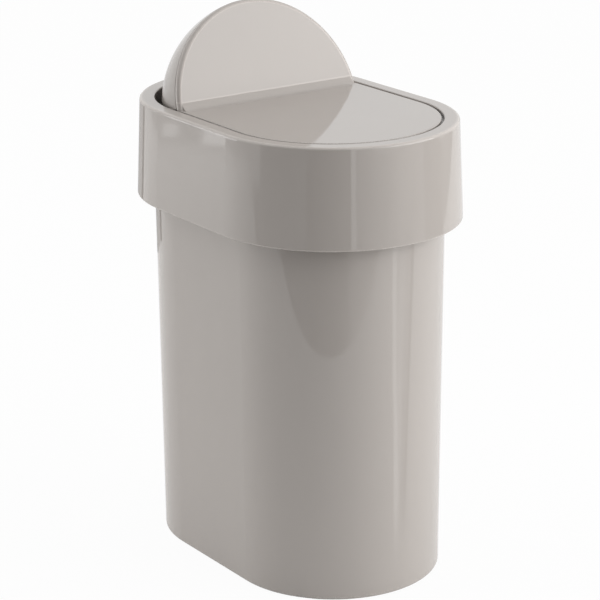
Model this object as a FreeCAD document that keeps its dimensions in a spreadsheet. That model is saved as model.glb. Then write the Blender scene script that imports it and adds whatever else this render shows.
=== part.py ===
import FreeCAD, Part
import math
import os
import re
import Sketcher
from FreeCAD import Placement, Rotation, Vector

# A waste bin: a tapered tub on a stadium-shaped footprint, an overhanging collar, and a flap whose
# level panel closes the opening while a half-moon with a round back stands up behind it.
# +Z is up, the front is -Y, the flap turns about a line along X. All sizes are in mm.

doc = FreeCAD.newDocument("waste_bin")
sheet = doc.addObject("Spreadsheet::Sheet", "sizes")

SIZES = [
    ("end_centre", 40.0, "centre of each round end, from the middle of the footprint"),
    ("opening_radius", 72.4, "radius of the opening's ends"),
    ("collar_top", 309.0, "height of the collar's flat top"),
    ("collar_height", 66.0, "height of the collar's skirt"),
    ("collar_wall", 2.2, "wall of the collar's skirt and opening wall"),
    ("deck", 2.6, "thickness of the collar's flat top"),
    ("skirt_flare", 2.9, "flare of the skirt from top to bottom"),
    ("shoulder_round", 1.9, "rounding of the collar's top outer edge"),
    ("edge_round", 0.8, "rounding of the collar's opening and bottom edges"),
    ("rim_drop", 12.0, "depth of the tub's rim below the collar's top"),
    ("wall_dip", 6.0, "reach of the opening wall into the tub's mouth"),
    ("mouth_play", 0.6, "play between the opening wall and the tub's mouth"),
    ("tub_wall", 1.8, "wall of the tub"),
    ("tub_floor", 2.2, "floor of the tub"),
    ("tub_taper", 1.85, "taper of the tub's ends from the floor to the shoulder"),
    ("shoulder", 3.35, "step by which the tub widens into its band below the rim"),
    ("band_hide", 8.0, "height of that step above the collar's lower edge"),
    ("floor_rise", 1.6, "height of the floor's underside above the foot ring"),
    ("foot_width", 4.5, "width of the foot ring"),
    ("foot_round", 1.4, "rounding of the tub's bottom edge"),
    ("rim_bead", 2.3, "reach of the rim's bead beyond the band"),
    ("bead_height", 4.0, "height of the rim's bead"),
    ("rim_round", 0.7, "rounding of the rim"),
    ("rib_width", 1.6, "thickness of the collar's guide ribs"),
    ("rib_gap", 0.4, "play between the guide ribs and the rim's bead"),
    ("rib_depth", 0.6, "least depth of the guide ribs on the skirt"),
    ("rib_drop", 14.0, "length of the guide ribs below the rim's top"),
    ("root", 0.5, "depth by which ribs and bosses run into the wall they stand on"),
    ("ledge_width", 3.6, "reach of the ledge the panel rests on"),
    ("ledge_edge", 1.2, "thickness of the ledge at its free edge"),
    ("ledge_root", 4.2, "thickness of the ledge at the wall"),
    ("ledge_play", 0.05, "play between the ledge and the closed panel"),
    ("ledge_end", 10.0, "distance of the ledge's rear ends in front of the hinge line"),
    ("hinge_inset", 7.0, "hinge line in front of the rear end's centre"),
    ("hinge_drop", 5.5, "hinge line below the collar's top"),
    ("boss_radius", 4.6, "radius of the collar's pivot bosses"),
    ("boss_reach", 3.0, "reach of the pivot bosses behind the opening wall"),
    ("pin_radius", 2.0, "radius of the pivot pins"),
    ("pin_length", 16.0, "length of the pivot pins"),
    ("pin_chamfer", 0.4, "chamfer of the pivot pins"),
    ("running_play", 0.05, "radial play of the pins in the collar"),
    ("panel_gap", 1.8, "gap between the level panel and the opening"),
    ("panel_sink", 0.2, "depth of the panel's top below the collar's top"),
    ("panel", 2.4, "thickness of the level panel"),
    ("panel_round", 0.6, "rounding of the panel's edge"),
    ("panel_rib_inset", 14.4, "ends of the panel's ribs from the opening"),
    ("panel_rib_pitch", 35.0, "spacing of the cross ribs"),
    ("panel_rib_start", 25.0, "first cross rib in front of the hinge line"),
    ("panel_rib_side", 30.0, "outer long ribs from the middle"),
    ("panel_rib", 4.0, "height of the ribs below the panel"),
    ("panel_rib_width", 1.4, "thickness of the ribs below the panel"),
    ("lean", 22.0, "backward lean of the half-moon, in degrees"),
    ("dome_gap", 0.8, "gap between the dome and the opening at the hinge line"),
    ("dome_wall", 2.0, "wall of the dome"),
    ("dome_lip", 1.6, "inward reach of the lip along the dome's lower edge"),
    ("dome_lip_angle", 1.6, "height of that lip, in degrees"),
    ("dome_rib", 2.6, "height of the ribs inside the dome"),
    ("dome_rib_width", 1.4, "thickness of the ribs inside the dome"),
    ("dome_rib_side", 32.0, "outer dome ribs from the middle"),
    ("dome_rib_start", 5.0, "start of the dome ribs behind the half-moon, in degrees"),
    ("dome_dip", 24.0, "reach of the dome below the hinge line, in degrees"),
    ("moon", 3.6, "depth of the half-moon's rim, whose back lies on the hinge line"),
    ("moon_plate", 2.4, "thickness of the half-moon inside its rim"),
    ("moon_round", 2.6, "rounding of the half-moon's rim"),
    ("corner_round", 7.0, "rounding in the corner between panel and half-moon"),
    ("spigot", 1.6, "width of the half-moon's locating ring inside the dome"),
    ("spigot_height", 2.4, "height of the locating ring"),
    ("spigot_play", 0.1, "play between the locating ring and the dome"),
    ("seam", 0.4, "chamfer of the seam between half-moon and dome"),
    ("ear_radius", 5.0, "radius of the flap's ears round the pins"),
    ("ear_gap", 1.8, "gap between the ears and the opening wall"),
    ("ear_width", 10.6, "length of the ears along the hinge line"),
    ("ear_clear", 1.4, "room round the ears inside the dome"),
    ("stop_reach", 14.0, "length of the ears' stop arms from the hinge line"),
    ("stop_width", 3.0, "thickness of the stop arms"),
]
# Sizes that follow from the ones above, each from its neighbour and a wall, play or step.
DERIVED = [
    ("rim_top", "collar_top - rim_drop", "height of the tub's rim"),
    ("mouth_radius", "opening_radius + collar_wall + mouth_play", "inner radius of the tub at the rim"),
    ("band_radius", "mouth_radius + tub_wall", "outer radius of the band below the rim"),
    ("rim_reach", "band_radius + rim_bead", "outer radius of the rim's bead"),
    ("neck_radius", "band_radius - shoulder", "outer radius of the tub's ends below the band"),
    ("base_radius", "neck_radius - tub_taper", "outer radius of the tub's ends at the floor"),
    ("band_foot", "collar_top - collar_height + band_hide", "height of the band's lower end"),
    ("collar_foot", "collar_top - collar_height", "height of the collar's lower edge"),
    ("collar_top_radius", "rim_reach + rib_gap + rib_depth + collar_wall", "collar's radius at the top"),
    ("collar_foot_radius", "collar_top_radius + skirt_flare", "collar's radius at the bottom"),
    ("ledge_top", "collar_top - panel_sink - panel - ledge_play", "height of the ledge"),
    ("hinge_y", "end_centre - hinge_inset", "hinge line behind the middle of the footprint"),
    ("hinge_z", "collar_top - hinge_drop", "height of the hinge line"),
    ("pin_outer", "opening_radius + collar_wall + boss_reach", "outer end of the pins from the middle"),
    ("panel_radius", "opening_radius - panel_gap", "radius of the level panel's end"),
    ("panel_top", "hinge_drop - panel_sink", "top of the panel above the hinge line"),
    ("panel_under", "panel_top - panel", "underside of the panel above the hinge line"),
    ("panel_rib_reach", "opening_radius - panel_rib_inset", "half length of the panel's cross ribs"),
    ("open_angle", "90 - lean", "travel of the flap, in degrees"),
    ("dome_radius", "opening_radius - dome_gap", "radius of the dome about the middle of the hinge line"),
    ("spigot_radius", "dome_radius - dome_wall - spigot_play", "outer radius of the locating ring"),
    ("ear_outer", "opening_radius - ear_gap", "outer face of the ears from the middle"),
    ("ear_inner", "ear_outer - ear_width", "inner face of the ears from the middle"),
]
HALF_TURN = "180"
END_RIBS = 6
CROSS_RIBS = 3
TOLERANCE = 1e-3
ROWS = SIZES + [(name, f"={text}", note) for name, text, note in DERIVED]
WORDS = {name for name, value, note in ROWS}
for row, (name, value, note) in enumerate(ROWS, 1):
    sheet.set(f"A{row}", note)
    sheet.set(f"B{row}", str(value))
    sheet.setAlias(f"B{row}", name)
    doc.recompute()


def bound(text):
    """the expression for a sum written with the words of the sheet"""
    def full(match):
        word = match.group()
        return f"sizes.{word}" if word in WORDS else word
    return re.sub(r"[a-z_]+", full, text)


def size(text):
    """the present value of such a sum"""
    return float(sheet.evalExpression(bound(text)))


def new_body(label, y="0", z="0"):
    body = doc.addObject("PartDesign::Body", label)
    body.Label = label
    if y != "0":
        body.setExpression("Placement.Base.y", bound(y))
    if z != "0":
        body.setExpression("Placement.Base.z", bound(z))
    return body


def origin_part(body, role):
    return next(item for item in body.Origin.OriginFeatures if item.Role == role)


def new_sketch(body, name, role, offset="0", angle="0", about=Vector(-1, 0, 0)):
    """a sketch on an origin plane, moved along the plane's normal and turned in its own axes"""
    sketch = body.newObject("Sketcher::SketchObject", name)
    sketch.AttachmentSupport = (origin_part(body, role), [""])
    sketch.MapMode = "FlatFace"
    if angle != "0":
        sketch.AttachmentOffset = Placement(Vector(), Rotation(about, size(angle)))
        sketch.setExpression("AttachmentOffset.Rotation.Angle", bound(angle))
    if offset != "0":
        sketch.setExpression("AttachmentOffset.Base.z", bound(offset))
    return sketch


def pin_point(sketch, edge, end, x, y):
    """ties one end of an edge to the place given by two sums"""
    for kind, axis, text in (("DistanceX", -2, x), ("DistanceY", -1, y)):
        if text == "0":
            sketch.addConstraint(Sketcher.Constraint("PointOnObject", edge, end, axis))
        else:
            at = sketch.addConstraint(Sketcher.Constraint(kind, -1, 1, edge, end, size(text)))
            sketch.setExpression(f"Constraints[{at}]", bound(text))


def outline(sketch, corners):
    """a closed outline of straight edges through the corners"""
    points = [Vector(size(x), size(y), 0) for x, y in corners]
    first = sketch.GeometryCount
    count = len(points)
    for here in range(count):
        sketch.addGeometry(Part.LineSegment(points[here], points[(here + 1) % count]), False)
    for here in range(count):
        following = first + (here + 1) % count
        sketch.addConstraint(Sketcher.Constraint("Coincident", first + here, 2, following, 1))
    for here, (x, y) in enumerate(corners):
        pin_point(sketch, first + here, 1, x, y)
    return sketch


def circle(sketch, radius, x="0", y="0"):
    """a circle round the place given by two sums"""
    centre = Vector(size(x), size(y), 0)
    ring = sketch.addGeometry(Part.Circle(centre, Vector(0, 0, 1), size(radius)), False)
    pin_point(sketch, ring, 3, x, y)
    at = sketch.addConstraint(Sketcher.Constraint("Radius", ring, size(radius)))
    sketch.setExpression(f"Constraints[{at}]", bound(radius))
    return sketch


def half_ring(sketch, outer, inner="0"):
    """a half disc above the sketch's X axis, or a half ring when an inner radius is given"""
    ends = []
    for radius in (outer, inner):
        if radius == "0":
            continue
        whole = Part.Circle(Vector(), Vector(0, 0, 1), size(radius))
        arc = sketch.addGeometry(Part.ArcOfCircle(whole, 0, math.pi), False)
        sketch.addConstraint(Sketcher.Constraint("Coincident", arc, 3, -1, 1))
        at = sketch.addConstraint(Sketcher.Constraint("Radius", arc, size(radius)))
        sketch.setExpression(f"Constraints[{at}]", bound(radius))
        sketch.addConstraint(Sketcher.Constraint("PointOnObject", arc, 1, -1))
        sketch.addConstraint(Sketcher.Constraint("PointOnObject", arc, 2, -1))
        ends.append((arc, size(radius)))
    if len(ends) == 1:
        joins = [((ends[0][0], 2, -ends[0][1]), (ends[0][0], 1, ends[0][1]))]
    else:
        joins = [
            ((ends[0][0], 1, ends[0][1]), (ends[1][0], 1, ends[1][1])),
            ((ends[0][0], 2, -ends[0][1]), (ends[1][0], 2, -ends[1][1])),
        ]
    for (from_arc, from_end, from_x), (to_arc, to_end, to_x) in joins:
        line = sketch.addGeometry(Part.LineSegment(Vector(from_x, 0, 0), Vector(to_x, 0, 0)), False)
        sketch.addConstraint(Sketcher.Constraint("Coincident", line, 1, from_arc, from_end))
        sketch.addConstraint(Sketcher.Constraint("Coincident", line, 2, to_arc, to_end))
    return sketch


def extrude(body, kind, name, sketch, length, reverse=False, both=False):
    """a pad or a pocket; both sides when it is centred on its sketch"""
    feature = body.newObject(f"PartDesign::{kind}", name)
    feature.Profile = sketch
    feature.setExpression("Length", bound(length))
    feature.Reversed = reverse
    if both:
        feature.SideType = "Symmetric"
    doc.recompute()
    return feature


def turn(body, name, sketch, angle, axis="V_Axis", reverse=False):
    feature = body.newObject("PartDesign::Revolution", name)
    feature.Profile = sketch
    feature.ReferenceAxis = (sketch, [axis])
    feature.setExpression("Angle", bound(angle))
    feature.Reversed = reverse
    doc.recompute()
    return feature


def mirror(body, name, features, role):
    """the same features on the other side of an origin plane"""
    feature = body.newObject("PartDesign::Mirrored", name)
    feature.Originals = features
    feature.MirrorPlane = (origin_part(body, role), [""])
    body.Tip = feature
    doc.recompute()
    return feature


def middle(edge):
    return edge.valueAt((edge.FirstParameter + edge.LastParameter) / 2)


def near(value, text):
    return abs(value - size(text)) < TOLERANCE


def on_ring(edge, radius, height, shift="0"):
    """whether the edge's middle lies on a stadium of this radius at this height"""
    point = middle(edge)
    along = abs(point.y + size(shift)) - size("end_centre")
    return near(point.z, height) and near(math.hypot(point.x, max(along, 0)), radius)


def soften(body, kind, name, width, wanted):
    """rounds or chamfers the edges of the body so far that pass the test"""
    base = body.Tip
    names = [f"Edge{n}" for n, edge in enumerate(base.Shape.Edges, 1) if wanted(edge)]
    if not names:
        raise RuntimeError(f"{name}: no edge found")
    feature = body.newObject(f"PartDesign::{kind}", name)
    feature.Base = (base, names)
    feature.setExpression("Radius" if kind == "Fillet" else "Size", bound(width))
    doc.recompute()
    return feature


def stadium_ring(body, name, corners):
    """a section carried round the whole stadium: two half turns and two straight runs"""
    section = outline(new_sketch(body, f"{name}_section", "XZ_Plane", "end_centre"), corners)
    side = extrude(body, "Pad", f"{name}_side", section, "end_centre * 2", reverse=True)
    front = turn(body, f"{name}_front", section, HALF_TURN, reverse=True)
    mirror(body, f"{name}_other_side", [side], "YZ_Plane")
    mirror(body, f"{name}_rear", [front], "XZ_Plane")


def front_run(body, name, sketch, length):
    """a section carried round the front end and back along both sides"""
    side = extrude(body, "Pad", f"{name}_side", sketch, length, reverse=True)
    turn(body, f"{name}_front", sketch, HALF_TURN, reverse=True)
    mirror(body, f"{name}_other_side", [side], "YZ_Plane")


def fan(body, name, feature, sketch, count, reverse=False):
    """copies of a feature over half a turn about the sketch's upright axis"""
    pattern = body.newObject("PartDesign::PolarPattern", name)
    pattern.Originals = [feature]
    pattern.Axis = (sketch, ["V_Axis"])
    pattern.setExpression("Angle", HALF_TURN)
    pattern.Occurrences = count
    pattern.Reversed = reverse
    body.Tip = pattern
    doc.recompute()
    return pattern


# The tub: floor on a foot ring, tapered wall, a wider band under the collar, a beaded rim.
tub = new_body("bin_body")
stadium_ring(tub, "tub", [
    ("0", "floor_rise"),
    ("base_radius - foot_width", "floor_rise"),
    ("base_radius - foot_width", "0"),
    ("base_radius", "0"),
    ("neck_radius", "band_foot"),
    ("band_radius", "band_foot + shoulder"),
    ("band_radius", "rim_top - bead_height"),
    ("rim_reach", "rim_top - bead_height"),
    ("rim_reach", "rim_top"),
    ("mouth_radius", "rim_top"),
    ("mouth_radius", "band_foot + shoulder + tub_wall / 2"),
    ("neck_radius - tub_wall", "band_foot + tub_wall / 2"),
    ("base_radius - tub_wall", "floor_rise + tub_floor"),
    ("0", "floor_rise + tub_floor"),
])
soften(tub, "Fillet", "foot_rounding", "foot_round", lambda edge: on_ring(edge, "base_radius", "0"))
soften(tub, "Fillet", "inner_rounding", "foot_round",
       lambda edge: on_ring(edge, "base_radius - tub_wall", "floor_rise + tub_floor"))
soften(tub, "Fillet", "rim_rounding", "rim_round",
       lambda edge: on_ring(edge, "rim_reach", "rim_top") or on_ring(edge, "mouth_radius", "rim_top"))

# The collar: skirt, flat top and the wall round the opening, which reaches into the tub's mouth.
collar = new_body("lid_collar")
stadium_ring(collar, "collar", [
    ("opening_radius", "collar_top"),
    ("collar_top_radius", "collar_top"),
    ("collar_foot_radius", "collar_foot"),
    ("collar_foot_radius - collar_wall", "collar_foot"),
    ("collar_top_radius - collar_wall", "collar_top - deck"),
    ("opening_radius + collar_wall", "collar_top - deck"),
    ("opening_radius + collar_wall", "rim_top - wall_dip"),
    ("opening_radius", "rim_top - wall_dip"),
])
soften(collar, "Fillet", "shoulder_rounding", "shoulder_round",
       lambda edge: on_ring(edge, "collar_top_radius", "collar_top"))
soften(collar, "Fillet", "edge_rounding", "edge_round",
       lambda edge: on_ring(edge, "opening_radius", "collar_top")
       or on_ring(edge, "collar_foot_radius", "collar_foot"))

# The ledge inside the opening that the level panel comes to rest on.
ledge = outline(new_sketch(collar, "ledge_section", "XZ_Plane", "end_centre"), [
    ("opening_radius + root", "ledge_top"),
    ("opening_radius + root", "ledge_top - ledge_root"),
    ("opening_radius - ledge_width", "ledge_top - ledge_edge"),
    ("opening_radius - ledge_width", "ledge_top"),
])
front_run(collar, "ledge", ledge, "end_centre + hinge_y - ledge_end")

# Ribs between skirt and opening wall: they sit on the tub's rim and centre the collar on its bead.
RIB_FLARE = "skirt_flare * (rim_drop + rib_drop) / collar_height"
RIB = [
    ("opening_radius + collar_wall - root", "collar_top - deck + root"),
    ("collar_top_radius - collar_wall + root", "collar_top - deck + root"),
    (f"collar_top_radius - collar_wall + root + {RIB_FLARE}", "rim_top - rib_drop"),
    ("rim_reach + rib_gap", "rim_top - rib_drop"),
    ("rim_reach + rib_gap", "rim_top"),
    ("opening_radius + collar_wall - root", "rim_top"),
]
for name, place, reverse in (("front_rib", "end_centre", True), ("rear_rib", "-end_centre", False)):
    rib_sketch = outline(new_sketch(collar, f"{name}_section", "XZ_Plane", place), RIB)
    rib = extrude(collar, "Pad", name, rib_sketch, "rib_width", both=True)
    fan(collar, f"{name}s", rib, rib_sketch, END_RIBS, reverse)
middle_sketch = outline(new_sketch(collar, "middle_rib_section", "XZ_Plane"), RIB)
middle_rib = extrude(collar, "Pad", "middle_rib", middle_sketch, "rib_width", both=True)
mirror(collar, "other_middle_rib", [middle_rib], "YZ_Plane")

# Pivot bosses behind the opening wall, bored for the pins.
boss_sketch = circle(new_sketch(collar, "boss_circle", "YZ_Plane", "opening_radius + root"),
                     "boss_radius", "hinge_y", "hinge_z")
boss = extrude(collar, "Pad", "boss", boss_sketch, "collar_wall - root + boss_reach")
mirror(collar, "other_boss", [boss], "YZ_Plane")
bore_sketch = circle(new_sketch(collar, "bore_circle", "YZ_Plane", "opening_radius - root"),
                     "pin_radius + running_play", "hinge_y", "hinge_z")
bore = extrude(collar, "Pocket", "bore", bore_sketch, "collar_wall + boss_reach + root * 2", reverse=True)
mirror(collar, "other_bore", [bore], "YZ_Plane")

# The flap's front: the half-moon that leans back from the hinge line, and the level panel before it.
front = new_body("flap_front", "hinge_y", "hinge_z")
moon_sketch = half_ring(new_sketch(front, "moon_outline", "XZ_Plane", angle="lean"), "dome_radius")
extrude(front, "Pad", "half_moon", moon_sketch, "moon")


def off_plane(point):
    """distance of a point in front of the half-moon's back"""
    lean = math.radians(size("lean"))
    return point.z * math.sin(lean) - point.y * math.cos(lean)


def rim_edge(edge, depth):
    point = middle(edge)
    return near(point.x, "0") and near(off_plane(point), depth) and near(edge.Length, "dome_radius * pi")


soften(front, "Fillet", "moon_rounding", "moon_round", lambda edge: rim_edge(edge, "moon"))
soften(front, "Chamfer", "moon_seam", "seam", lambda edge: rim_edge(edge, "0"))
hollow_sketch = half_ring(new_sketch(front, "hollow_outline", "XZ_Plane", angle="lean"),
                          "spigot_radius - spigot")
extrude(front, "Pocket", "moon_hollow", hollow_sketch, "moon - moon_plate", reverse=True)
panel_section = outline(new_sketch(front, "panel_section", "XZ_Plane", "hinge_y + end_centre"), [
    ("0", "panel_under"),
    ("panel_radius", "panel_under"),
    ("panel_radius", "panel_top"),
    ("0", "panel_top"),
])
front_run(front, "panel", panel_section, "hinge_y + end_centre")
soften(front, "Fillet", "panel_rounding", "panel_round",
       lambda edge: on_ring(edge, "panel_radius", "panel_top", "hinge_y"))

# The hollow rounding in the corner between panel and half-moon.
CORNER_Y = "panel_top * tan(lean * 1deg) - moon / cos(lean * 1deg)"
corner_sketch = new_sketch(front, "corner_outline", "YZ_Plane")
corner = Vector(size(CORNER_Y), size("panel_top"), 0)
rise = Vector(math.sin(math.radians(size("lean"))), math.cos(math.radians(size("lean"))), 0)
run = size("corner_round") / math.tan(math.radians(size(f"{HALF_TURN} - open_angle")) / 2)
on_panel = corner - Vector(run, 0, 0)
on_moon = corner + rise * run
hub = on_panel + Vector(0, size("corner_round"), 0)
corner_sketch.addGeometry(Part.LineSegment(on_panel, corner), False)
corner_sketch.addGeometry(Part.LineSegment(corner, on_moon), False)
hollow = Part.Circle(hub, Vector(0, 0, 1), size("corner_round"))
hollow_ends = [hollow.parameter(point) for point in (on_panel, on_moon)]
corner_sketch.addGeometry(Part.ArcOfCircle(hollow, *hollow_ends), False)
corner_sketch.addConstraint(Sketcher.Constraint("Coincident", 0, 2, 1, 1))
pin_point(corner_sketch, 0, 2, CORNER_Y, "panel_top")
corner_sketch.addConstraint(Sketcher.Constraint("Horizontal", 0))
slope = corner_sketch.addConstraint(Sketcher.Constraint("Angle", 1, math.radians(size("open_angle"))))
corner_sketch.setExpression(f"Constraints[{slope}]", bound("open_angle * 1deg"))
corner_sketch.addConstraint(Sketcher.Constraint("Tangent", 2, 1, 0, 1))
corner_sketch.addConstraint(Sketcher.Constraint("Tangent", 2, 2, 1, 2))
bend = corner_sketch.addConstraint(Sketcher.Constraint("Radius", 2, size("corner_round")))
corner_sketch.setExpression(f"Constraints[{bend}]", bound("corner_round"))
extrude(front, "Pad", "corner_strip", corner_sketch, "(dome_radius - moon_round - panel_round) * 2", both=True)

# Ribs below the panel.
LONG_RIB = [
    ("-panel_rib_start + panel_rib_pitch / 2", "panel_under + root"),
    ("-hinge_y - end_centre - panel_rib_reach", "panel_under + root"),
    ("-hinge_y - end_centre - panel_rib_reach", "panel_under"),
    ("-hinge_y - end_centre - panel_rib_reach + panel_rib", "panel_under - panel_rib"),
    ("-panel_rib_start + panel_rib_pitch / 2 - panel_rib", "panel_under - panel_rib"),
    ("-panel_rib_start + panel_rib_pitch / 2", "panel_under"),
]
long_sketch = outline(new_sketch(front, "long_rib_section", "YZ_Plane"), LONG_RIB)
extrude(front, "Pad", "long_rib", long_sketch, "panel_rib_width", both=True)
side_sketch = outline(new_sketch(front, "side_rib_section", "YZ_Plane", "panel_rib_side"), LONG_RIB)
side_rib = extrude(front, "Pad", "side_rib", side_sketch, "panel_rib_width", both=True)
mirror(front, "other_side_rib", [side_rib], "YZ_Plane")
cross_sketch = outline(new_sketch(front, "cross_rib_section", "XZ_Plane", "panel_rib_start"), [
    ("-panel_rib_reach", "panel_under + root"),
    ("-panel_rib_reach", "panel_under"),
    ("panel_rib - panel_rib_reach", "panel_under - panel_rib"),
    ("panel_rib_reach - panel_rib", "panel_under - panel_rib"),
    ("panel_rib_reach", "panel_under"),
    ("panel_rib_reach", "panel_under + root"),
])
cross_rib = extrude(front, "Pad", "cross_rib", cross_sketch, "panel_rib_width", both=True)
cross_ribs = front.newObject("PartDesign::LinearPattern", "cross_ribs")
cross_ribs.Originals = [cross_rib]
cross_ribs.Direction = (cross_sketch, ["N_Axis"])
cross_ribs.Occurrences = CROSS_RIBS
cross_ribs.setExpression("Length", bound(f"panel_rib_pitch * {CROSS_RIBS - 1}"))
front.Tip = cross_ribs
doc.recompute()

# Ears round the pins, each with an arm that meets the ledge from below when the flap is fully open.
ear_sketch = circle(new_sketch(front, "ear_circle", "YZ_Plane", "ear_inner"), "ear_radius")
ear = extrude(front, "Pad", "ear", ear_sketch, "ear_outer - ear_inner")
stop_sketch = outline(
    new_sketch(front, "stop_outline", "YZ_Plane", "ear_inner", "open_angle", Vector(0, 0, 1)), [
        ("0", "0"),
        ("-stop_reach", "0"),
        ("-stop_reach", "-stop_width"),
        ("0", "-stop_width"),
    ])
stop = extrude(front, "Pad", "stop_arm", stop_sketch, "ear_outer - ear_inner")
mirror(front, "other_ear", [ear, stop], "YZ_Plane")

# A ring on the half-moon's back that centres the dome.
spigot_sketch = half_ring(new_sketch(front, "spigot_outline", "XZ_Plane", angle="lean"), "spigot_radius",
                          "spigot_radius - spigot")
extrude(front, "Pad", "spigot_ring", spigot_sketch, "spigot_height", reverse=True)

# Blind bores in the ears that the pins are pressed into.
socket_sketch = circle(new_sketch(front, "socket_circle", "YZ_Plane", "pin_outer - pin_length"),
                       "pin_radius")
socket = extrude(front, "Pocket", "socket", socket_sketch, "pin_length", reverse=True)
mirror(front, "other_socket", [socket], "YZ_Plane")

# The dome: a slice of a ball about the hinge line, from the half-moon's back to below the rim.
dome = new_body("flap_dome", "hinge_y", "hinge_z")
dome_sketch = half_ring(new_sketch(dome, "dome_section", "XZ_Plane", angle="lean"), "dome_radius",
                        "dome_radius - dome_wall")
turn(dome, "ball_slice", dome_sketch, "open_angle + dome_dip", "H_Axis", reverse=True)
soften(dome, "Chamfer", "dome_seam", "seam", lambda edge: rim_edge(edge, "0"))
lip_sketch = half_ring(
    new_sketch(dome, "dome_lip_section", "XZ_Plane", angle="90 + dome_dip - dome_lip_angle"),
    "dome_radius - root", "dome_radius - dome_wall - dome_lip")
turn(dome, "dome_lip_turn", lip_sketch, "dome_lip_angle", "H_Axis", reverse=True)

# Ribs that follow the dome's inside from the half-moon to the lip.
DOME_RIBS = [
    ("dome_rib", "0", "dome_radius - dome_wall + root"),
    ("dome_side_rib", "dome_rib_side", "sqrt((dome_radius - dome_wall + root)^2 - dome_rib_side^2)"),
]
for name, place, root_radius in DOME_RIBS:
    dome_rib_sketch = outline(
        new_sketch(dome, f"{name}_section", "XZ_Plane", angle="lean + dome_rib_start"), [
            (f"{place} - dome_rib_width / 2", root_radius),
            (f"{place} + dome_rib_width / 2", root_radius),
            (f"{place} + dome_rib_width / 2", f"{root_radius} - root - dome_rib"),
            (f"{place} - dome_rib_width / 2", f"{root_radius} - root - dome_rib"),
        ])
    dome_rib = turn(dome, f"{name}_turn", dome_rib_sketch, "open_angle + dome_dip - dome_rib_start",
                    "H_Axis", reverse=True)
    if place != "0":
        mirror(dome, f"other_{name}", [dome_rib], "YZ_Plane")

# Room in the dome for the flap's ears.
notch_sketch = circle(new_sketch(dome, "notch_circle", "YZ_Plane"), "ear_radius + ear_clear")
extrude(dome, "Pocket", "notch", notch_sketch, "dome_radius * 2 + root", both=True)

# The two pins the flap swings on, pressed into the ears and free to turn in the collar's bosses.
for label, side in (("pivot_pin_right", 1), ("pivot_pin_left", -1)):
    pin = new_body(label, "hinge_y", "hinge_z")
    pin.setExpression("Placement.Base.x", bound(f"{side} * (pin_outer - pin_length)"))
    pin_sketch = circle(new_sketch(pin, f"{label}_circle", "YZ_Plane"), "pin_radius")
    extrude(pin, "Pad", f"{label}_shank", pin_sketch, "pin_length", reverse=side < 0)
    soften(pin, "Chamfer", f"{label}_chamfer", "pin_chamfer",
           lambda edge: near(edge.Length, "pin_radius * 2 * pi"))

doc.recompute()
os.makedirs("parts", exist_ok=True)
for item in doc.Objects:
    if "Invalid" in item.State or "Error" in item.State or not item.isValid():
        raise RuntimeError(f"{item.Name}: {item.State}")
for body in (item for item in doc.Objects if item.TypeId == "PartDesign::Body"):
    shape = body.Shape
    if shape.isNull() or not shape.isValid() or len(shape.Solids) != 1:
        raise RuntimeError(f"{body.Label}: not one valid solid")
    shape.exportStep(f"parts/{body.Label}.step")
    print(body.Label, round(shape.Volume), shape.BoundBox)
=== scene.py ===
# %% [markdown]
# # A waste bin with a swing flap
# The imported CAD model is the fixed frame of this lesson: a tapered tub, an overhanging collar and
# a two-shell flap on two steel pins. Its pieces already stand where they belong, in metres, and
# their shapes are the ones the moulds would give, so they stay and this script gives them their
# finish, a studio to stand in and a camera.

# %% The frame
import math
import bpy
from mathutils import Matrix, Vector

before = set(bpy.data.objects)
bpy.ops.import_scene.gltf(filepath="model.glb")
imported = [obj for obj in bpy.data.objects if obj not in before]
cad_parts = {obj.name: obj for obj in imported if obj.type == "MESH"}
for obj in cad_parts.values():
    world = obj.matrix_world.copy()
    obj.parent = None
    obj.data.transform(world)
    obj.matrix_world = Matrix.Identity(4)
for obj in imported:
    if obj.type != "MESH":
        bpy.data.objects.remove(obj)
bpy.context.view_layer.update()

bpy.ops.object.select_all(action="DESELECT")

# %% [markdown]
# ## The camera
# The bin is seen from a little above, towards its round front end and one long side, with a long
# lens that keeps the upright edges nearly parallel. A camera could be aimed with a tracking
# constraint, but two angles on a ball round the bin say the same thing in plain numbers: a compass
# angle from the front and a rise above the floor. A small aim shift and roll finish the framing.

# %% Camera
CAMERA_COMPASS, CAMERA_RISE = -34.99, 18.38
CAMERA_ROLL = math.radians(-0.36)
CAMERA_DISTANCE = 1.6077
TUB_MIDDLE = Vector((0.0, 0.0, 0.1649))
AIM_RIGHT, AIM_UP = 0.0014, 0.0083
LENS, SENSOR = 142.3, 36.0


def bearing(compass, rise=0.0):
    """unit vector towards a compass angle in degrees: 0 is the bin's front, 90 its right side"""
    turn, lift = math.radians(compass), math.radians(rise)
    flat = math.cos(lift)
    return Vector((math.sin(turn) * flat, -math.cos(turn) * flat, math.sin(lift)))


back = bearing(CAMERA_COMPASS, CAMERA_RISE)
right = bearing(CAMERA_COMPASS + 90.0)
camera_place = TUB_MIDDLE + back * CAMERA_DISTANCE
aim = TUB_MIDDLE + right * AIM_RIGHT + back.cross(right) * AIM_UP
axis = (camera_place - aim).normalized()
level = Vector((0.0, 0.0, 1.0)).cross(axis).normalized()
rolled = level * math.cos(CAMERA_ROLL) + axis.cross(level) * math.sin(CAMERA_ROLL)
camera_data = bpy.data.cameras.new("product_view")
camera_data.lens = LENS
camera_data.sensor_width = SENSOR
camera = bpy.data.objects.new("product_view", camera_data)
turned = Matrix((rolled, axis.cross(rolled), axis)).transposed().to_4x4()
camera.matrix_world = Matrix.Translation(camera_place) @ turned
bpy.context.scene.collection.objects.link(camera)
bpy.context.scene.camera = camera
print("camera at", [round(value, 3) for value in camera_place])

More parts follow.
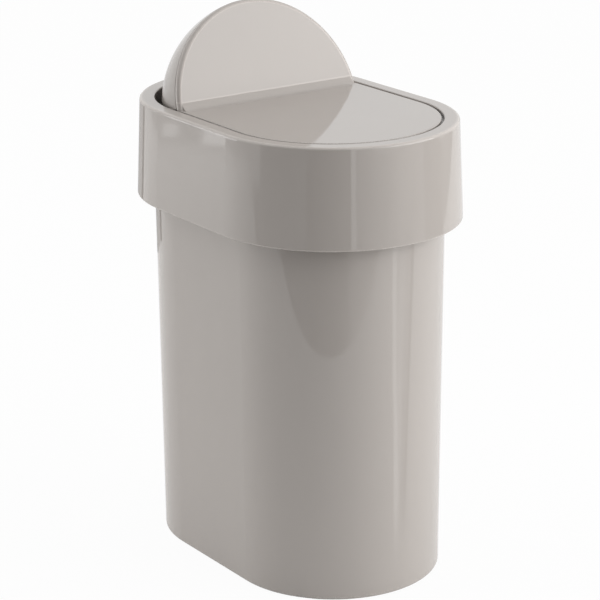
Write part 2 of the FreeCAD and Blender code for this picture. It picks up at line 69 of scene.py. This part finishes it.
# %% [markdown]
# ## Writing shaders as sums
# Every finish below is a small calculation on the place of a point on the piece: how high it is,
# how far from an edge, how a noise varies there. Wiring Math nodes by hand hides such sums, so one
# small class wraps a socket and lets plain Python operators add the nodes. All other node types
# come from its one method, which takes the node's type, its settings and its socket values.

# %% Shader sums
OBJECT_PLACE = 3
WHITE = (1.0, 1.0, 1.0, 1.0)


class Shade:
    """one output socket of a node tree; sums and products of it add Math nodes"""

    def __init__(self, tree, socket=None):
        self.tree = tree
        self.socket = socket

    def node(self, kind, settings=None, out=0, **inputs):
        """adds a node, sets it, then fills or links its sockets, by name or as i0, i1, ..."""
        made = self.tree.nodes.new(kind)
        for key, value in (settings or {}).items():
            setattr(made, key, value)
        for key, value in inputs.items():
            number = key[1:]
            socket = made.inputs[int(number) if number.isdigit() else key.replace("_", " ")]
            if isinstance(value, Shade):
                self.tree.links.new(value.socket, socket)
            else:
                socket.default_value = value
        return Shade(self.tree, made.outputs[out])

    def maths(self, operation, *values):
        sockets = {f"i{place}": value for place, value in enumerate(values)}
        return self.node("ShaderNodeMath", {"operation": operation}, **sockets)

    def __add__(self, other):
        return self.maths("ADD", self, other)

    def __sub__(self, other):
        return self.maths("SUBTRACT", self, other)

    def __rsub__(self, other):
        return self.maths("SUBTRACT", other, self)

    def __mul__(self, other):
        return self.maths("MULTIPLY", self, other)

    __radd__ = __add__
    __rmul__ = __mul__

    def size(self):
        return self.maths("ABSOLUTE", self)

    def between(self, low, high):
        """0 at low, 1 at high, smooth between, held outside; low may be the greater"""
        return self.node("ShaderNodeMapRange", {"interpolation_type": "SMOOTHSTEP"}, Value=self,
                         From_Min=low, From_Max=high, To_Min=0.0, To_Max=1.0)

    def larger(self, first, second):
        return self.maths("MAXIMUM", first, second)

    def blend(self, amount, none, full):
        """the colour between two that an amount from 0 to 1 picks"""
        return self.node("ShaderNodeMix", {"data_type": "RGBA"}, out=2,
                         i0=amount, i6=none, i7=full)

    def noise(self, place, scale, detail, distortion=0.0):
        return self.node("ShaderNodeTexNoise", Vector=place, Scale=scale, Detail=detail,
                         Distortion=distortion)

    def bump(self, height):
        """a normal from a height in metres"""
        return self.node("ShaderNodeBump", Strength=1.0, Distance=1.0, Height=height)

    def coordinates(self):
        """the place of a point on its piece, whole and as x, y and z"""
        place = self.node("ShaderNodeTexCoord", out=OBJECT_PLACE)
        split = self.node("ShaderNodeSeparateXYZ", Vector=place).socket.node
        return [place] + [Shade(self.tree, split.outputs[letter]) for letter in "XYZ"]


def new_paint(name):
    """an empty material and the start of its node sums"""
    material = bpy.data.materials.new(name)
    material.use_nodes = True
    material.node_tree.nodes.clear()
    return material, Shade(material.node_tree)


def show(material, shader):
    output = material.node_tree.nodes.new("ShaderNodeOutputMaterial")
    material.node_tree.links.new(shader.socket, output.inputs["Surface"])
    return material


print("shader sums ready:", Shade.__name__)

# %% [markdown]
# ## The moulded plastic
# Tub, collar and flap are injection mouldings in one warm grey. What makes such a wall look real
# is small: flow lines where the melt ran up from the gate, a faint orange-peel ripple from the
# polished steel, fine wiping scratches that only show in the gloss, and rubbed places where the
# piece is handled or stands. A flat colour with one roughness would miss all of it. So one
# function mixes these layers from Object coordinates, and each piece adds its own rubbed places;
# some pieces also get painted highlights and painted shade.

# %% Moulded plastic
WARM_GREY = (0.468, 0.431, 0.402)
PLASTIC_IOR = 1.5
FLOW_STRETCH = (1.0, 1.0, 0.22)
WIPE_TURN, WIPE_STRETCH = (0.3, 0.5, 0.2), (1.0, 9.0, 70.0)
FLOW = {"scale": 26.0, "detail": 4.0, "distortion": 0.6}
CLOUD = {"scale": 7.0, "detail": 2.0}
WIPES = {"scale": 40.0, "detail": 3.0}
PEEL = {"scale": 170.0, "detail": 1.0}
NICKS = {"scale": 900.0, "detail": 2.0}
NICKED, SCRATCHED = (0.42, 0.62), (0.60, 0.74)
FLOW_SHARE, CLOUD_SHARE = 0.6, 0.4
DEEP_STREAK, LIGHT_STREAK = 0.965, 1.035
# the pale tint serves scuffs and painted highlights, the dark tint grime and painted shade
PALE_WEAR_AND_HIGHLIGHT_TINT, GRIME_AND_SHADE_TINT = 1.20, 0.16
SCUFF_PALES = 0.15
GLOSS = 0.03
CLOUD_DULLS, SCRATCH_DULLS, RUB_DULLS, SCUFF_DULLS, GRIME_AND_SHADE_DULLS = 0.02, 0.03, 0.10, 0.22, 0.3
PEEL_HEIGHT, SCUFF_HEIGHT = 0.0000016, 0.000004


def tint(factor):
    """the warm grey made lighter or darker"""
    return tuple(min(value * factor, 1.0) for value in WARM_GREY) + (1.0,)


def moulded_plastic(name, marks, unevenness, shade):
    """gloss plastic; marks takes the point's x, y, z and says how rubbed it is, how much grime and
    painted shade it gets and how much painted highlight
    """
    material, start = new_paint(name)
    place, x, y, z = start.coordinates()
    rubbed, grime_and_shade, painted_highlight = marks(start, x, y, z)

    tall = start.node("ShaderNodeMapping", Vector=place, Scale=FLOW_STRETCH)
    slant = start.node("ShaderNodeMapping", Vector=place, Rotation=WIPE_TURN, Scale=WIPE_STRETCH)
    flow = start.noise(tall, **FLOW)
    cloud = start.noise(place, **CLOUD)
    scratches = start.noise(slant, **WIPES).between(*SCRATCHED)
    scuffed = rubbed * start.noise(place, **NICKS).between(*NICKED)

    streaks = start.blend(flow * FLOW_SHARE + cloud * CLOUD_SHARE,
                          tint(shade * DEEP_STREAK), tint(shade * LIGHT_STREAK))
    # painted highlight: the pale tint that scuffs get also paints thin lines standing in for edge
    # highlights
    worn_and_highlit = start.blend(scuffed * SCUFF_PALES + painted_highlight, streaks, tint(PALE_WEAR_AND_HIGHLIGHT_TINT))
    # painted shade: the dark tint paints the collar's gap as shade, besides real grime on other
    # pieces
    tone = start.blend(grime_and_shade, worn_and_highlit, tint(GRIME_AND_SHADE_TINT))
    rough = (GLOSS + cloud * CLOUD_DULLS + scratches * SCRATCH_DULLS + rubbed * RUB_DULLS
             + scuffed * SCUFF_DULLS + grime_and_shade * GRIME_AND_SHADE_DULLS)
    height = (start.noise(place, **PEEL) * PEEL_HEIGHT + flow * unevenness
              + scuffed * SCUFF_HEIGHT)
    shader = start.node("ShaderNodeBsdfPrincipled", Base_Color=tone, Roughness=rough,
                        IOR=PLASTIC_IOR, Normal=start.bump(height))
    return show(material, shader)


print("plain tint:", [round(value, 3) for value in tint(1.0)])

# %% [markdown]
# ## Where each moulding is rubbed, and where highlights and shade are painted
# The tub is scuffed round its foot, where it is pushed about, and on its rim under the lid. The
# collar is rubbed along its lower edge, where fingers lift it off, and painted highlights run as
# thin pale lines along that edge and along its upper outer edge. The narrow gap round the flap gets
# painted shade, which is why it reads as a dark line. The flap is dulled by hands on the
# half-moon's upper rim and scuffed at the panel's front end, and painted highlights run as thin
# pale lines along the rim and along the corner between panel and half-moon. The dome is rubbed
# along its lower lip, and its colour is made a shade deeper as painted shade. The wide flap is the
# least even of the mouldings.
# Each place could be painted by hand; a few heights and reaches in metres in the shared frame say
# it more plainly and stay with the piece when it moves. Each pair below runs from where a mark
# begins to where it is full.

# %% Rubbed places, painted highlights and painted shade
END_CENTRE = 0.040
COLLAR_TOP, COLLAR_FOOT = 0.309, 0.243
OPENING = 0.0724
HINGE_Y, HINGE_Z = 0.033, 0.3035
BALL = 0.0716
BEND_TOP = 0.3128

TUB_FOOT, TUB_RIM = (0.006, 0.0008), (0.2945, 0.2968)
TUB_UNDERSIDE, INSIDE_FOOT_RING = (0.0022, 0.0012), (0.0690, 0.0670)
LIFTED_EDGE = (COLLAR_FOOT + 0.0030, COLLAR_FOOT)
# painted highlight: a thin pale line near the collar's lower edge
HIGHLIGHT_EDGE = (COLLAR_FOOT + 0.0011, COLLAR_FOOT + 0.0005)
# the shoulder is rubbed and also carries a painted highlight line
SHOULDER, SHOULDER_REACH = (COLLAR_TOP - 0.0016, COLLAR_TOP - 0.0004), (0.0790, 0.0815)
# painted shade: the collar's wall in the gap round the flap is darkened
GAP_WALL = (OPENING + 0.0006, OPENING + 0.0002)
GAP_DEPTH = (COLLAR_TOP - 0.0006, COLLAR_TOP - 0.0018)
CROWN, CROWN_HEIGHT = (BALL - 0.0040, BALL - 0.0010), (0.330, 0.360)
NOSE_REACH, NOSE_FRONT, NOSE_TOP = (0.0685, 0.0703), (-0.060, -0.090), (0.3075, 0.3085)
# painted highlight: thin pale lines along the bend between panel and half-moon and along the rim
BEND_BEGINS = (BEND_TOP, BEND_TOP + 0.0005)
BEND_ENDS = (BEND_TOP + 0.0014, BEND_TOP + 0.0009)
RIM_BEGINS, RIM_ENDS = (BALL - 0.0034, BALL - 0.0026), (BALL - 0.0012, BALL - 0.0020)
RIM_ABOVE = (0.006, 0.010)
DOME_LIP = (0.2790, 0.2750)

RIM_RUBBED, SHOULDER_RUBBED, CROWN_RUBBED = 0.6, 0.5, 0.5
# the gap's amount is painted shade; the foot's, nose's and lip's amounts are grime
GAP_PAINTED_SHADE, FOOT_GRIME, NOSE_GRIME, LIP_GRIME = 0.75, 0.10, 0.05, 0.10
PAINTED_HIGHLIGHT_LINE = 0.8
NO_PAINTED_HIGHLIGHT = 0.0


def spine_distance(start, x, y):
    """distance from the line between the two end centres: constant along a stadium's wall"""
    beyond = start.larger(y.size() - END_CENTRE, 0.0)
    return start.maths("SQRT", x * x + beyond * beyond)


def tub_marks(start, x, y, z):
    rubbed = start.larger(z.between(*TUB_FOOT), z.between(*TUB_RIM) * RIM_RUBBED)
    under = z.between(*TUB_UNDERSIDE) * spine_distance(start, x, y).between(*INSIDE_FOOT_RING)
    return rubbed, under * FOOT_GRIME, NO_PAINTED_HIGHLIGHT


def collar_marks(start, x, y, z):
    reach = spine_distance(start, x, y)
    upper = z.between(*SHOULDER) * reach.between(*SHOULDER_REACH)
    rubbed = start.larger(z.between(*LIFTED_EDGE), upper * SHOULDER_RUBBED)
    # painted shade in the gap round the flap
    grime_and_shade = reach.between(*GAP_WALL) * z.between(*GAP_DEPTH)
    # painted highlight along the lower edge and the shoulder
    painted_highlight = start.larger(z.between(*HIGHLIGHT_EDGE) * PAINTED_HIGHLIGHT_LINE, upper)
    return rubbed, grime_and_shade * GAP_PAINTED_SHADE, painted_highlight


def flap_marks(start, x, y, z):
    ahead = y - HINGE_Y
    above = z - HINGE_Z
    from_ball = start.maths("SQRT", x * x + ahead * ahead + above * above)
    crown = from_ball.between(*CROWN) * z.between(*CROWN_HEIGHT)
    reach = spine_distance(start, x, y)
    nose = reach.between(*NOSE_REACH) * y.between(*NOSE_FRONT) * z.between(*NOSE_TOP)
    # painted highlight lines along the bend and along the rim
    bend_highlight = z.between(*BEND_BEGINS) * z.between(*BEND_ENDS)
    rim = from_ball.between(*RIM_BEGINS) * from_ball.between(*RIM_ENDS)
    painted_highlight = start.larger(bend_highlight * PAINTED_HIGHLIGHT_LINE, rim * above.between(*RIM_ABOVE))
    return start.larger(crown * CROWN_RUBBED, nose), nose * NOSE_GRIME, painted_highlight


def dome_marks(start, x, y, z):
    lip = z.between(*DOME_LIP)
    return lip, lip * LIP_GRIME, NO_PAINTED_HIGHLIGHT


# node: slot, marks, unevenness in metres, shade; a shade below 1 is painted shade
FINISHES = {
    "bin_body": ("tub_plastic", tub_marks, 0.000004, 1.0),
    "lid_collar": ("collar_plastic", collar_marks, 0.000009, 1.0),
    "flap_front": ("flap_plastic", flap_marks, 0.000025, 1.0),
    # painted shade: the dome's colour is made a shade deeper
    "flap_dome": ("dome_plastic", dome_marks, 0.000009, 0.86),
}
for node, (slot, marks, unevenness, shade) in FINISHES.items():
    finish = moulded_plastic(f"{slot}_finish", marks, unevenness, shade)
    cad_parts[node].data.materials[0] = finish
    print(node, "wears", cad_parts[node].data.materials[0].name)

# %% [markdown]
# ## The steel pins
# The two pins are ground dowels: bright metal whose grinding lines run round them, with a little
# darkening where they turn in the collar. The lines are a noise that changes quickly along the
# pin, which lies along X, and slowly across it. An anisotropic shader would do as well, but the
# lines in roughness and bump also survive an export.

# %% Ground steel
PIN_STEEL = (0.58, 0.58, 0.59)
DULL_STEEL = tuple(value * 0.72 for value in PIN_STEEL)
LINE_STRETCH = (9000.0, 300.0, 300.0)
LINES = {"scale": 1.0, "detail": 3.0}
TURNED_IN = (0.0715, 0.0735)
LINE_SHARE, TURNED_SHARE = 0.5, 0.4
STEEL_ROUGH, LINE_ROUGH = 0.20, 0.15
LINE_HEIGHT = 0.000002


def ground_steel(name):
    material, start = new_paint(name)
    place, along = start.coordinates()[:2]
    rings = start.node("ShaderNodeMapping", Vector=place, Scale=LINE_STRETCH)
    lines = start.noise(rings, **LINES)
    dulled = lines * LINE_SHARE + along.size().between(*TURNED_IN) * TURNED_SHARE
    tone = start.blend(dulled, PIN_STEEL + (1.0,), DULL_STEEL + (1.0,))
    shader = start.node("ShaderNodeBsdfPrincipled", Base_Color=tone,
                        Roughness=STEEL_ROUGH + lines * LINE_ROUGH, Metallic=1.0,
                        Normal=start.bump(lines * LINE_HEIGHT))
    return show(material, shader)


for node in ("pivot_pin_left", "pivot_pin_right"):
    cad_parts[node].data.materials[0] = ground_steel(f"{node}_finish")
    print(node, "wears ground steel")

# %% [markdown]
# ## The table
# Gloss plastic shows the room it stands in, so the studio has to be built as well as the bin. The
# bin stands on a white table with a straight front edge, and that edge is what the dark tongue in
# the tub's front mirrors. A big plane is cut by two bisects, as a saw would, at the front and at
# the right. For the camera it is nearly all its own white, with a little of the matt paint left,
# which keeps the bin's shadow; the gloss sees it as half white and half lit paint.

# %% Table
TABLE_SPAN = 8.0
TABLE_FACING = -39.0
FRONT_EDGE, RIGHT_EDGE = 0.56, 1.02
CLEARANCE = 0.0004
TABLE_GREY = 0.80
SPECKS = {"scale": 60.0, "detail": 2.0}
SPECK_SHADE = 0.98
CAMERA_WHITE, GLOSS_WHITE, CLEAR_WHITE = 0.95, 0.50, 0.50


def ray_kinds(start):
    """camera, glossy and transmission rays, each 1 or 0"""
    path = start.node("ShaderNodeLightPath").socket.node
    kinds = ("Is Camera Ray", "Is Glossy Ray", "Is Transmission Ray")
    return [Shade(start.tree, path.outputs[kind]) for kind in kinds]


def matt_paint(name, grey):
    """a new paint, the start of its sums and its faintly specked grey"""
    material, start = new_paint(name)
    speck = start.noise(start.node("ShaderNodeTexCoord", out=OBJECT_PLACE), **SPECKS)
    tone = start.blend(speck, (grey * SPECK_SHADE,) * 3 + (1.0,), (grey,) * 3 + (1.0,))
    return material, start, tone


bpy.ops.mesh.primitive_plane_add(size=TABLE_SPAN, location=(0.0, 0.0, -CLEARANCE))
table = bpy.context.object
table.name = "table"
for facing, edge in ((TABLE_FACING, FRONT_EDGE), (TABLE_FACING + 90.0, RIGHT_EDGE)):
    outward = bearing(facing)
    bpy.ops.object.mode_set(mode="EDIT")
    bpy.ops.mesh.select_all(action="SELECT")
    bpy.ops.mesh.bisect(plane_co=outward * edge, plane_no=outward, clear_outer=True)
    bpy.ops.object.mode_set(mode="OBJECT")
table_paint, start, tone = matt_paint("table_paint", TABLE_GREY)
camera_ray, glossy_ray, clear_ray = ray_kinds(start)
matt = start.node("ShaderNodeBsdfDiffuse", Color=tone)
glow = start.node("ShaderNodeEmission", Color=WHITE, Strength=1.0)
whitened = camera_ray * CAMERA_WHITE + glossy_ray * GLOSS_WHITE + clear_ray * CLEAR_WHITE
show(table_paint, start.node("ShaderNodeMixShader", i0=whitened, i1=matt, i2=glow))
table.data.materials.append(table_paint)
print("table corners:", len(table.data.vertices))

# %% [markdown]
# ## Cards, flats and strips
# Round the table stand the things a product studio uses. Grey and black flats on the camera's side
# and a low white card on the right shade the light and give the gloss its upright bands. Further
# cards are kept for the gloss alone: two in front that set the bands' tones, a bright one behind
# that draws the line along the collar's upper edge, two small ones for the soft patches on the
# collar's flat side, and a black one near its right end. Strips lie on the table: those in front
# make the upright lines on the tub and fade out towards its foot, and two behind make the dark
# left end of the collar. They could be painted on the bin, but then they would not move with the
# view as reflections do. A card is a plane stood on edge between two compass angles, a strip is
# laid where the wall mirrors those angles to the camera, and the studio's floor is a dark disc
# below the table. The camera sees none of them.

# %% Cards, flats and strips
UPRIGHT = math.radians(90.0)
STUDIO_FLOOR, FLOOR_RADIUS, FLOOR_SIDES, FLOOR_GREY = -0.7, 5.0, 64, 0.28
FLAT_TOP, CARD_FOOT = 1.8, -0.06
PALE, BLACK = 0.9, 0.02
GREY_BAND, BLACK_BAND, FRONT_BAND = (-99.0, -57.0), (-57.0, -19.6), (-19.6, 9.0)

# name, compass angles, distance, foot, top, grey
FLATS = (
    ("grey_flat", GREY_BAND, 1.5, STUDIO_FLOOR, FLAT_TOP, 0.24),
    ("black_flat", BLACK_BAND, 1.6, STUDIO_FLOOR, FLAT_TOP, BLACK),
    ("low_white_card", (-19.6, 55.0), 1.45, CARD_FOOT, 0.12, PALE),
)
# the same, and how much each glows
GLOSS_CARDS = (
    ("grey_card", GREY_BAND, 1.45, CARD_FOOT, 0.40, PALE, 0.40),
    ("front_card", FRONT_BAND, 1.40, CARD_FOOT, 0.20, PALE, 1.45),
    ("front_low_card", FRONT_BAND, 1.40, STUDIO_FLOOR, CARD_FOOT, PALE, 0.40),
    ("back_card", (-144.0, -126.0), 1.5, 0.10, 0.75, PALE, 4.2),
    ("small_card", (-145.1, -144.3), 1.3, 0.046, 0.062, PALE, 2.2),
    ("second_small_card", (-143.0, -141.4), 1.3, 0.040, 0.060, PALE, 2.6),
    ("right_black_card", (46.2, 69.4), 0.90, 0.01, 0.17, BLACK, 0.0),
)

FOOT_RADIUS, COLLAR_RADIUS = 0.0727, 0.0855
FADE = (FOOT_RADIUS, FOOT_RADIUS + 0.20)
FRONT_REACH = (0.03, 0.18, 0.30, 0.45, 0.80)
BACK_REACH = (0.70, 1.60)
LIGHT_LEFT = (33.5, 32.4, 31.0, 29.0, 27.7)
LIGHT_RIGHT = (38.5, 37.4, 36.2, 33.8, 32.5)
PALE_RIGHT = (39.5, 40.5, 41.0, 40.5, 40.0)
GREY_LEFT = (39.5, 40.5, 41.5, 42.5, 45.0)
DARK_LEFT = (44.5, 45.3, 46.8, 48.5, 52.0)
DARK_RIGHT = (47.0, 48.8, 50.6, 52.5, 56.5)
DIM_LEFT, LINE_LEFT, LINE_RIGHT = (-223.0, -223.0), (-182.1, -182.1), (-177.2, -177.2)

# name, grey, glow, and the compass angles of the two sides at each reach
FRONT_STRIPS = (
    ("dark_strip", BLACK, 0.0, DARK_LEFT, DARK_RIGHT),
    ("grey_strip", 0.45, 0.0, GREY_LEFT, DARK_LEFT),
    ("pale_strip", PALE, 1.35, LIGHT_RIGHT, PALE_RIGHT),
    ("light_strip", PALE, 2.3, LIGHT_LEFT, LIGHT_RIGHT),
)
BACK_STRIPS = (
    ("dim_strip", PALE, 0.55, DIM_LEFT, LINE_LEFT),
    ("thin_black_strip", BLACK, 0.0, LINE_LEFT, LINE_RIGHT),
)


def dress(piece, name, grey, glow=0.0, shades=True, fades=False):
    """paints a stage piece that the camera does not see; without shades only the gloss sees it"""
    piece.name = name
    paint, start, tone = matt_paint(f"{name}_paint", grey)
    if glow:
        shader = start.node("ShaderNodeEmission", Color=tone, Strength=glow)
    else:
        shader = start.node("ShaderNodeBsdfDiffuse", Color=tone)
    if fades:
        x, y = start.coordinates()[1:3]
        shown = spine_distance(start, x, y).between(*FADE)
        clear = start.node("ShaderNodeBsdfTransparent")
        shader = start.node("ShaderNodeMixShader", i0=shown, i1=clear, i2=shader)
    show(paint, shader)
    piece.data.materials.append(paint)
    piece.visible_camera = False
    piece.visible_shadow = shades
    piece.visible_diffuse = shades
    print("stage:", name)


def standing_card(name, compass, far, low, high, grey, glow=0.0, shades=True):
    """a card stood on edge between two compass angles"""
    middle, spread = sum(compass) / 2, math.radians(compass[1] - compass[0]) / 2
    place = bearing(middle) * far * math.cos(spread) + Vector((0.0, 0.0, (low + high) / 2))
    turn = (UPRIGHT, 0.0, math.radians(middle))
    bpy.ops.mesh.primitive_plane_add(size=1.0, location=place, rotation=turn)
    card = bpy.context.object
    card.scale = (2 * far * math.sin(spread), high - low, 1.0)
    bpy.ops.object.transform_apply(location=True, rotation=True, scale=True)
    dress(card, name, grey, glow, shades)


def lying_strip(name, grey, glow, lefts, rights, reaches, radius, end_centre, fades):
    """a strip on the table that a round wall mirrors to the camera between two compass angles"""
    lift = Vector((0.0, end_centre, -CLEARANCE / 2))
    corners = []
    for reach, *sides in zip(reaches, lefts, rights):
        for compass in sides:
            wall = bearing((compass + CAMERA_COMPASS) / 2) * radius
            corners.append(wall + bearing(compass) * reach + lift)
    faces = [(i, i + 1, i + 3, i + 2) for i in range(0, len(corners) - 2, 2)]
    mesh = bpy.data.meshes.new(name)
    mesh.from_pydata(corners, [], faces)
    strip = bpy.data.objects.new(name, mesh)
    bpy.context.scene.collection.objects.link(strip)
    dress(strip, name, grey, glow, shades=False, fades=fades)


for row in FLATS:
    standing_card(*row)
for row in GLOSS_CARDS:
    standing_card(*row, shades=False)
for row in FRONT_STRIPS:
    lying_strip(*row, FRONT_REACH, FOOT_RADIUS, -END_CENTRE, fades=True)
for row in BACK_STRIPS:
    lying_strip(*row, BACK_REACH, COLLAR_RADIUS, END_CENTRE, fades=False)
bpy.ops.mesh.primitive_circle_add(vertices=FLOOR_SIDES, radius=FLOOR_RADIUS, fill_type="NGON",
                                  location=(0.0, 0.0, STUDIO_FLOOR))
dress(bpy.context.object, "studio_floor", FLOOR_GREY)

# %% [markdown]
# ## Light
# The room itself is an even white, a little weaker for the light than for what the camera and the
# gloss see. A large softbox stands to the right of the camera; it is a rectangle, as real ones are,
# because the gloss shows its outline. A lower one behind the bin to the left lights the flank and
# is kept out of the gloss, as a polarising filter would do, or the dome would show a glaring patch.

# %% Light
ROOM_LIGHT, ROOM_SEEN = 0.86, 0.14
LAMP_AIM = Vector((0.0, 0.0, 0.25))

# name, compass angle, rise, distance, width, height, watts, seen in the gloss
SOFTBOXES = (
    ("key_softbox", 37.0, 15.0, 1.4, 1.4, 0.9, 11.2, True),
    ("rear_softbox", -138.0, 3.0, 1.5, 1.3, 0.50, 7.7, False),
)


def softbox(name, compass, rise, far, wide, tall, power, mirrored):
    lamp = bpy.data.lights.new(name, "AREA")
    lamp.shape = "RECTANGLE"
    lamp.size, lamp.size_y = wide, tall
    lamp.energy = power
    towards = bearing(compass, rise)
    box = bpy.data.objects.new(name, lamp)
    box.location = LAMP_AIM + towards * far
    box.rotation_euler = towards.to_track_quat("Z", "Y").to_euler()
    box.visible_camera = False
    box.visible_glossy = mirrored
    bpy.context.scene.collection.objects.link(box)
    print(name, "at", [round(value, 2) for value in box.location])


world = bpy.data.worlds.new("studio_room")
bpy.context.scene.world = world
world.use_nodes = True
world.node_tree.nodes.clear()
start = Shade(world.node_tree)
camera_ray, glossy_ray, clear_ray = ray_kinds(start)
strength = ROOM_LIGHT + (camera_ray + glossy_ray + clear_ray) * ROOM_SEEN
room = start.node("ShaderNodeBackground", Color=WHITE, Strength=strength)
world_output = world.node_tree.nodes.new("ShaderNodeOutputWorld")
world.node_tree.links.new(room.socket, world_output.inputs["Surface"])
for row in SOFTBOXES:
    softbox(*row)

# %% [markdown]
# ## Finish
# The scene's view transform is set to Standard.

# %% Finish
bpy.context.scene.view_settings.view_transform = "Standard"
